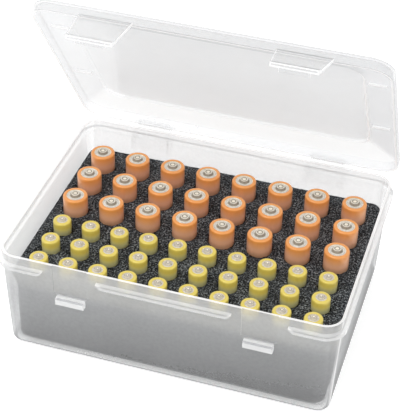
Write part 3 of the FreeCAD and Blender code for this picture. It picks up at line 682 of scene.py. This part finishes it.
def makeLatch(side, sign):
    bm = bmesh.new()
    half, tipHalf = latch["rootWidth"] / 2, latch["tipWidth"] / 2
    front, back, tip = -latch["front"], latch["back"], -latch["length"]
    lip = tip + latch["gripTall"]
    gripFront = -latch["gripFront"]
    lipHalf = tipHalf + (half - tipHalf) * latch["gripTall"] / latch["length"]
    # plate, lip and tip in one loft: each loop is (half width, front, back, height)
    bevel = latch["tipBevel"]
    rows = [(half, -latch["rootRadius"], back, 0.0), (half, -latch["rootRadius"], back, -latch["start"]),
            (half, front, back, -latch["start"] - latch["swell"]), (lipHalf, front, back, lip),
            (lipHalf - latch["gripTaper"], gripFront, back, lip - latch["gripRise"]),
            (tipHalf, gripFront, back, tip), (tipHalf - bevel, gripFront + bevel, back - bevel, tip)]
    loft(bm, [[Vector((-w, f, z)), Vector((w, f, z)), Vector((w, b, z)), Vector((-w, b, z))]
              for w, f, b, z in rows])
    hook = [(0.0, -latch["hookTop"]), (latch["hookReach"], -latch["hookTop"]),
            (latch["hookReach"], -latch["hookTop"] - latch["hookEdge"]),
            (0.0, -latch["hookTop"] - latch["hookTall"])]
    prismAlongX(bm, hook, -latch["hookWidth"] / 2, latch["hookWidth"] / 2)
    bevelEdges(bm, 0.3)
    root = Matrix.Translation(Vector((sign * tray["latchCentre"], -latch["rootFront"], latch["rootHeight"])))
    turn = Matrix.Rotation(math.radians(-latch["flare"][side]), 4, "X")
    piece = newPiece(side + "Latch", bm, [plasticOf[name] for name in ("flap", "edge", "line")],
                     lidSwing @ root @ turn, choose=latchFaces)
    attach(piece, "latch_" + side)
    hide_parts("latch_" + side)


makeLatch("left", -1)
makeLatch("right", 1)
print("latches ready")


# cells: a lathe in Geometry Nodes, one mesh for each

fullTurn = 6.28         # radians
weldWithin = 0.000002   # metres
cellKinds = {
    "aa": {"columns": 8, "rows": 3, "radius": 7.25, "body": 49.4, "nubRadius": 2.75, "nubTall": 1.1,
           "discRadius": 5.1, "segments": 40},
    "aaa": {"columns": 10, "rows": 3, "radius": 5.25, "body": 43.7, "nubRadius": 1.9, "nubTall": 0.8,
            "discRadius": 3.1, "segments": 36},
}

# the lathe's profile: place across (0 axis, 1 nub, 2 disc, 3 side of the can), height, offset, surface
cellProfile = [
    (0.00, "foot", 0.25, "metal"), (1.80, "foot", 0.25, "metal"), (2.00, "foot", 0.00, "metal"),
    (2.80, "foot", 0.00, "metal"), (2.93, "foot", 0.12, "wrap"), (3.00, "foot", 0.50, "wrap"),
    (3.00, "shoulder", -1.50, "wrap"), (2.98, "shoulder", -0.80, "wrap"), (2.89, "shoulder", -0.32, "wrap"),
    (2.73, "shoulder", -0.08, "wrap"), (2.50, "shoulder", 0.00, "wrap"), (2.20, "shoulder", -0.05, "wrap"),
    (2.03, "shoulder", -0.18, "wrap"), (2.00, "shoulder", -0.50, "metal"),
    (1.86, "shoulder", -0.50, "metal"), (1.80, "shoulder", -0.64, "metal"),
    (1.72, "shoulder", -0.50, "metal"), (1.50, "shoulder", -0.45, "metal"),
    (1.25, "shoulder", -0.42, "metal"), (1.12, "shoulder", -0.75, "metal"),
    (1.00, "shoulder", -0.50, "metal"), (1.00, "tip", -0.42, "metal"), (0.93, "tip", -0.10, "metal"),
    (0.82, "tip", 0.00, "metal"), (0.60, "tip", 0.00, "metal"), (0.52, "tip", -0.16, "metal"),
    (0.42, "tip", -0.05, "metal"), (0.00, "tip", 0.00, "metal"),
]

latheInputs = {
    "Can Radius": "NodeSocketFloat", "Disc Radius": "NodeSocketFloat", "Nub Radius": "NodeSocketFloat",
    "Can Height": "NodeSocketFloat", "Nub Height": "NodeSocketFloat", "Segments": "NodeSocketInt",
    "Place": "NodeSocketVector", "Turn": "NodeSocketFloat",
    "Wrap": "NodeSocketMaterial", "Metal": "NodeSocketMaterial",
}


def latheSurfaces(tree, given, grid, row):
    # metal all over, then the wrap on the rows of the profile that carry it
    wrapRows = [i for i, point in enumerate(cellProfile) if point[3] == "wrap"]
    first, last = wrapRows[0] - 1 + 0.01, wrapRows[-1] + 0.01
    above = addNode(tree, "FunctionNodeCompare", {"A": row, "B": first}, data_type="FLOAT",
                    operation="GREATER_THAN").outputs[0]
    below = addNode(tree, "FunctionNodeCompare", {"A": row, "B": last}, data_type="FLOAT",
                    operation="LESS_THAN").outputs[0]
    isWrap = addNode(tree, "FunctionNodeBooleanMath", {0: above, 1: below}, operation="AND").outputs[0]
    metal = addNode(tree, "GeometryNodeSetMaterial", {"Geometry": grid, "Material": given["Metal"]})
    wrapped = addNode(tree, "GeometryNodeSetMaterial", {"Geometry": metal.outputs[0], "Selection": isWrap,
                                                        "Material": given["Wrap"]})
    return wrapped.outputs[0]


def latheProfile(tree, given, row):
    # radius and height of a row, looked up by its number
    tip = calc(tree, "ADD", given["Can Height"], given["Nub Height"])
    radii = [0.0, given["Nub Radius"], given["Disc Radius"], given["Can Radius"]]
    heights = {"foot": 0.0, "shoulder": given["Can Height"], "tip": tip}
    rowIndex = addNode(tree, "FunctionNodeFloatToInt", {0: row}, rounding_mode="ROUND").outputs[0]
    radius, height = [addNode(tree, "GeometryNodeIndexSwitch", data_type="FLOAT") for _ in range(2)]
    for node in (radius, height):
        while len(node.index_switch_items) < len(cellProfile):
            node.index_switch_items.new()
        tree.links.new(rowIndex, node.inputs["Index"])
    for i, (across, level, up, _) in enumerate(cellProfile):
        inner = min(int(across), 2)
        between = addNode(tree, "ShaderNodeMix", {"Factor": across - inner, "A": radii[inner],
                                                  "B": radii[inner + 1]}, data_type="FLOAT")
        tree.links.new(between.outputs["Result"], radius.inputs[i + 1])
        tree.links.new(calc(tree, "ADD", heights[level], up * mm), height.inputs[i + 1])
    return radius.outputs[0], height.outputs[0]


def cellTree():
    # a flat grid whose columns turn round the axis and whose rows follow the profile
    tree = bpy.data.node_groups.new("cellLathe", "GeometryNodeTree")
    for name, kind in latheInputs.items():
        tree.interface.new_socket(name, in_out="INPUT", socket_type=kind)
    tree.interface.new_socket("Geometry", in_out="OUTPUT", socket_type="NodeSocketGeometry")
    given = addNode(tree, "NodeGroupInput").outputs
    grid = addNode(tree, "GeometryNodeMeshGrid", {"Size X": 1.0, "Size Y": 1.0,
                                                  "Vertices X": calc(tree, "ADD", given["Segments"], 1.0),
                                                  "Vertices Y": len(cellProfile)}).outputs["Mesh"]
    flat = addNode(tree, "ShaderNodeSeparateXYZ", {0: addNode(tree, "GeometryNodeInputPosition").outputs[0]})
    row = calc(tree, "MULTIPLY", calc(tree, "ADD", flat.outputs["Y"], 0.5), float(len(cellProfile) - 1))
    surfaced = latheSurfaces(tree, given, grid, row)
    radius, height = latheProfile(tree, given, row)
    turned = calc(tree, "ADD", calc(tree, "MULTIPLY", flat.outputs["X"], 2 * math.pi), given["Turn"])
    x, y = [calc(tree, "MULTIPLY", calc(tree, wave, turned), radius) for wave in ("COSINE", "SINE")]
    local = addNode(tree, "ShaderNodeCombineXYZ", {"X": x, "Y": y, "Z": height}).outputs[0]
    moved = addNode(tree, "ShaderNodeVectorMath", {0: local, 1: given["Place"]}, operation="ADD").outputs[0]
    ringPlace = calc(tree, "DIVIDE", radius, given["Disc Radius"])
    marked = addNode(tree, "GeometryNodeStoreNamedAttribute",
                     {"Geometry": surfaced, "Name": "ringPlace", "Value": ringPlace},
                     data_type="FLOAT", domain="POINT").outputs[0]
    shaped = addNode(tree, "GeometryNodeSetPosition", {"Geometry": marked, "Position": moved}).outputs[0]
    welded = addNode(tree, "GeometryNodeMergeByDistance", {"Geometry": shaped, "Distance": weldWithin})
    real = addNode(tree, "GeometryNodeRealizeInstances", {"Geometry": welded.outputs[0]})
    tree.links.new(real.outputs[0], addNode(tree, "NodeGroupOutput").inputs["Geometry"])
    return tree


def makeCells():
    tree = cellTree()
    identifiers = {item.name: item.identifier for item in tree.interface.items_tree if item.in_out == "INPUT"}
    maker = bpy.data.objects.new("cellMaker", bpy.data.meshes.new("cellMaker"))
    bpy.context.scene.collection.objects.link(maker)
    rng = random.Random(7)
    for kind, spec in cellKinds.items():
        for row in range(spec["rows"]):
            for column in range(spec["columns"]):
                node = "cell_%s_row%d_no%d" % (kind, row + 1, column + 1)
                low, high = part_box(node)
                modifier = maker.modifiers.new("lathe", "NODES")
                modifier.node_group = tree
                place = ((low.x + high.x) / 2, (low.y + high.y) / 2, low.z)
                values = {"Can Radius": spec["radius"] * mm, "Disc Radius": spec["discRadius"] * mm,
                          "Nub Radius": spec["nubRadius"] * mm, "Can Height": spec["body"] * mm,
                          "Nub Height": spec["nubTall"] * mm, "Segments": spec["segments"], "Place": place,
                          "Turn": rng.uniform(0.0, fullTurn), "Wrap": wrapOf[kind], "Metal": platedEnd}
                for name, value in values.items():
                    modifier[identifiers[name]] = value
                bpy.context.view_layer.update()
                result = maker.evaluated_get(bpy.context.evaluated_depsgraph_get())
                mesh = bpy.data.meshes.new_from_object(result)
                maker.modifiers.remove(modifier)
                finishCell(node, mesh)
    bpy.data.objects.remove(maker)


def finishCell(node, mesh):
    bm = bmesh.new()
    bm.from_mesh(mesh)
    bmesh.ops.remove_doubles(bm, verts=bm.verts, dist=weldWithin)
    bmesh.ops.recalc_face_normals(bm, faces=bm.faces)
    bm.to_mesh(mesh)
    bm.free()
    mesh.polygons.foreach_set("use_smooth", [True] * len(mesh.polygons))
    mesh.set_sharp_from_angle(angle=math.radians(50))
    piece = bpy.data.objects.new(node.replace("cell_", "battery_"), mesh)
    bpy.context.scene.collection.objects.link(piece)
    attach(piece, node)
    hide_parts(node)


makeCells()
print("cells ready")


# foam block, cut open at every cell

foam = {
    "width": 184.0, "depth": 132.0, "corner": 6.0, "bottom": 1.8, "top": foamTop, "footChamfer": 3.0,
    "levels": (44.5, 41.0, 37.0, 31.0, 25.0, 19.0, 13.0), "taperTall": 8.0,
    "waist": {-1: 3.2, 1: 2.0}, "waistDepth": 0.5,   # how far the left and right end and the front stand in
    "spacing": 1.7, "shake": 0.33, "edgeStep": 1.6, "edgeGap": 0.8, "pocketGap": 0.9,
    "pocketPlay": 0.12, "pocketPoints": 26, "ragged": 0.22,
    "sink": 0.35, "uneven": 0.28, "rough": 0.3, "seed": 11,
}


def pocketList():
    # centre, radius and floor of every pocket, from the frame's own cells
    pockets = []
    for kind, spec in cellKinds.items():
        for row in range(spec["rows"]):
            for column in range(spec["columns"]):
                low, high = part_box("cell_%s_row%d_no%d" % (kind, row + 1, column + 1))
                centre = Vector(((low.x + high.x) / 2 / mm, (low.y + high.y) / 2 / mm))
                pockets.append((centre, spec["radius"] + foam["pocketPlay"], low.z / mm))
    return pockets


def evenPoints(points, step):
    # the same closed line, with points about a step apart
    result = []
    for i, start in enumerate(points):
        end = points[(i + 1) % len(points)]
        count = max(1, round(math.dist(start, end) / step))
        for k in range(count):
            share = k / count
            result.append(tuple(a + (b - a) * share for a, b in zip(start, end)))
    return result


def raggedRing(rng, centre, radius):
    turn = rng.uniform(0, fullTurn)
    ring = []
    for k in range(foam["pocketPoints"]):
        angle = turn + 2 * math.pi * k / foam["pocketPoints"]
        out = radius + rng.uniform(0.0, foam["ragged"])
        ring.append((centre.x + out * math.cos(angle), centre.y + out * math.sin(angle)))
    return ring


def scatteredPoints(rng, pockets):
    # shaken grid points over the top, clear of its edge and of the pockets
    spacing, shake, gap = foam["spacing"], foam["shake"], foam["edgeGap"]
    points = []
    for i in range(int(foam["width"] / spacing)):
        for j in range(int(foam["depth"] / spacing)):
            x = -foam["width"] / 2 + (i + 0.5 + rng.uniform(-shake, shake)) * spacing
            y = -foam["depth"] / 2 + (j + 0.5 + rng.uniform(-shake, shake)) * spacing
            clearEdge = insideRounded(x, y, foam["width"] - 2 * gap, foam["depth"] - 2 * gap,
                                      foam["corner"] - gap)
            if clearEdge and all(math.hypot(x - c.x, y - c.y) > r + foam["pocketGap"] for c, r, _ in pockets):
                points.append(Vector((x, y)))
    return points


def foamPlan(pockets):
    # triangles of the top, and which points lie on its border and round each pocket
    rng = random.Random(foam["seed"])
    border = outline(foam["width"], foam["depth"], foam["corner"], 0.0, (), 6)
    lines = [evenPoints(border, foam["edgeStep"])]
    lines += [raggedRing(rng, centre, radius) for centre, radius, _ in pockets]
    points, edges, rings = [], [], []
    for line in lines:
        first = len(points)
        points.extend(Vector(point) for point in line)
        edges.extend((first + i, first + (i + 1) % len(line)) for i in range(len(line)))
        rings.append(range(first, first + len(line)))
    points += scatteredPoints(rng, pockets)
    found = delaunay_2d_cdt(points, edges, [], 0, 0.0001, True)
    return found[0], found[2], rings


def joinRings(bm, upper, lower):
    for i in range(len(upper)):
        j = (i + 1) % len(upper)
        bm.faces.new((upper[i], upper[j], lower[j], lower[i]))


def addFoamTop(bm, coords, faces, rings, pockets):
    # a rough top, lower along its border and round the pockets
    onRing = set(i for ring in rings for i in ring)
    top = []
    for i, p in enumerate(coords):
        wave = noise.noise(Vector((p.x * 0.5, p.y * 0.5, 3.0))) * foam["uneven"]
        fine = noise.noise(Vector((p.x * 1.7, p.y * 1.7, 9.0))) * foam["uneven"] * 0.8
        drop = foam["sink"] if i in onRing else 0.0
        top.append(bm.verts.new((p.x, p.y, foam["top"] - foam["sink"] - drop + wave + fine)))
    for face in faces:
        middle = sum((coords[i] for i in face), Vector((0, 0))) / len(face)
        inBlock = insideRounded(middle.x, middle.y, foam["width"], foam["depth"], foam["corner"])
        if inBlock and not any((middle - c).length < r - 0.05 for c, r, _ in pockets):
            bm.faces.new([top[i] for i in face])
    return top


def addFoamSides(bm, coords, border, top):
    # rings down the outside, drawn in below the top, then the chamfered foot and the underside
    lower = [top[i] for i in border]
    for height in (*foam["levels"], foam["bottom"] + foam["footChamfer"]):
        taper = min(1.0, (foam["top"] - height) / foam["taperTall"])
        ring = []
        for i in border:
            x, y = coords[i]
            rough = foam["rough"] * noise.noise(Vector((x * 0.4, y * 0.4, height * 0.3)))
            inX = 1 - (foam["waist"][1 if x > 0 else -1] * taper + rough) / foam["width"] * 2
            inY = 1 - (foam["waistDepth"] + rough) / foam["depth"] * 2
            ring.append(bm.verts.new((x * inX, y * inY, height)))
        joinRings(bm, lower, ring)
        lower = ring
    shrinkX = 1 - 2 * (foam["footChamfer"] + foam["waist"][-1]) / foam["width"]
    shrinkY = 1 - 2 * foam["footChamfer"] / foam["depth"]
    ring = [bm.verts.new((coords[i][0] * shrinkX, coords[i][1] * shrinkY, foam["bottom"])) for i in border]
    joinRings(bm, lower, ring)
    bm.faces.new(ring)


def addPocket(bm, coords, indices, pocket, top):
    centre, radius, floor = pocket
    lower = [top[i] for i in indices]
    for height in (foam["top"] - 2.0, floor + 0.05):
        ring = []
        for i in indices:
            place = centre + (coords[i] - centre).normalized() * radius
            ring.append(bm.verts.new((place.x, place.y, height)))
        joinRings(bm, lower, ring)
        lower = ring
    bm.faces.new(ring)


def foamFaces(middle, normal):
    # 0 the open top, 1 the sides and pockets
    return 1 if middle.z < foam["top"] - 2 or abs(normal.z) < 0.5 else 0


def makeFoam():
    pockets = pocketList()
    coords, faces, rings = foamPlan(pockets)
    bm = bmesh.new()
    top = addFoamTop(bm, coords, faces, rings, pockets)
    addFoamSides(bm, coords, rings[0], top)
    for indices, pocket in zip(rings[1:], pockets):
        addPocket(bm, coords, indices, pocket, top)
    piece = newPiece("foamBlock", bm, foams, sharpAngle=60.0, choose=foamFaces)
    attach(piece, "base")
    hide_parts("foam_insert")


makeFoam()
print("foam ready")


# floor, light and camera

studio = {
    "floorSize": 3000.0, "floorDrop": 0.05, "floorColour": (0.93, 0.93, 0.93), "floorWhite": 0.45,
    "keyPower": 6.0, "keySize": 0.9, "keyPlace": (-0.55, -0.75, 1.15),
    "fillPower": 2.0, "fillSize": 1.2, "fillPlace": (0.9, -0.4, 0.8),
    "aim": (0.0, 0.0, 0.05), "worldLight": 0.80,
}


def seenOrMirrored(tree):
    # 1 for what is seen, directly, mirrored or through clear surfaces, and 0 for what lights the object
    rays = addNode(tree, "ShaderNodeLightPath").outputs
    shown = calc(tree, "MAXIMUM", rays["Is Camera Ray"], rays["Is Glossy Ray"])
    return calc(tree, "MAXIMUM", shown, rays["Is Transmission Ray"])


def makeFloor():
    bm = bmesh.new()
    half = studio["floorSize"] / 2
    corners = ((-half, -half), (half, -half), (half, half), (-half, half))
    bm.faces.new([bm.verts.new((x, y, -studio["floorDrop"])) for x, y in corners])
    material, tree, shader = newMaterial("paleFloor")
    shader.inputs["Base Color"].default_value = (*studio["floorColour"], 1.0)
    shader.inputs["Roughness"].default_value = 0.9
    shader.inputs["Specular IOR Level"].default_value = 0.1
    shader.inputs["Emission Color"].default_value = (1.0, 1.0, 1.0, 1.0)
    tree.links.new(mapRange(tree, seenOrMirrored(tree), 0.0, 1.0, 0.0, studio["floorWhite"]),
                   shader.inputs["Emission Strength"])
    floor = newPiece("floor", bm, [material])


def makeLights():
    scene = bpy.context.scene
    world = bpy.data.worlds.new("studioWorld")
    scene.world = world
    world.use_nodes = True
    tree = world.node_tree
    background = tree.nodes["Background"]
    background.inputs["Color"].default_value = (1.0, 1.0, 1.0, 1.0)
    tree.links.new(mapRange(tree, seenOrMirrored(tree), 0.0, 1.0, studio["worldLight"], 1.0),
                   background.inputs["Strength"])
    for name in ("key", "fill"):
        lamp = bpy.data.lights.new(name + "Light", "AREA")
        lamp.energy = studio[name + "Power"]
        lamp.size = studio[name + "Size"]
        holder = bpy.data.objects.new(name + "Light", lamp)
        holder.location = studio[name + "Place"]
        aim = Vector(studio["aim"]) - holder.location
        holder.rotation_mode = "QUATERNION"
        holder.rotation_quaternion = aim.to_track_quat("-Z", "Y")
        scene.collection.objects.link(holder)


view = {"place": (174.5, -600.1, 550.6), "yaw": 16.36, "pitch": 37.54, "roll": 1.67, "lens": 121.17}


def makeCamera():
    yaw, pitch, roll = (math.radians(view[key]) for key in ("yaw", "pitch", "roll"))
    back = Vector((math.sin(yaw) * math.cos(pitch), -math.cos(yaw) * math.cos(pitch), math.sin(pitch)))
    right = Vector((math.cos(yaw), math.sin(yaw), 0.0))
    up = back.cross(right)
    turnedRight = math.cos(roll) * right + math.sin(roll) * up
    turnedUp = back.cross(turnedRight)
    data = bpy.data.cameras.new("camera")
    data.lens = view["lens"]
    camera = bpy.data.objects.new("camera", data)
    turn = Matrix((turnedRight, turnedUp, back)).transposed()
    camera.matrix_world = Matrix.Translation(Vector(view["place"]) * mm) @ turn.to_4x4()
    bpy.context.scene.collection.objects.link(camera)
    bpy.context.scene.camera = camera
    bpy.context.scene.view_settings.view_transform = "Standard"


makeFloor()
makeLights()
makeCamera()
print("stage ready")
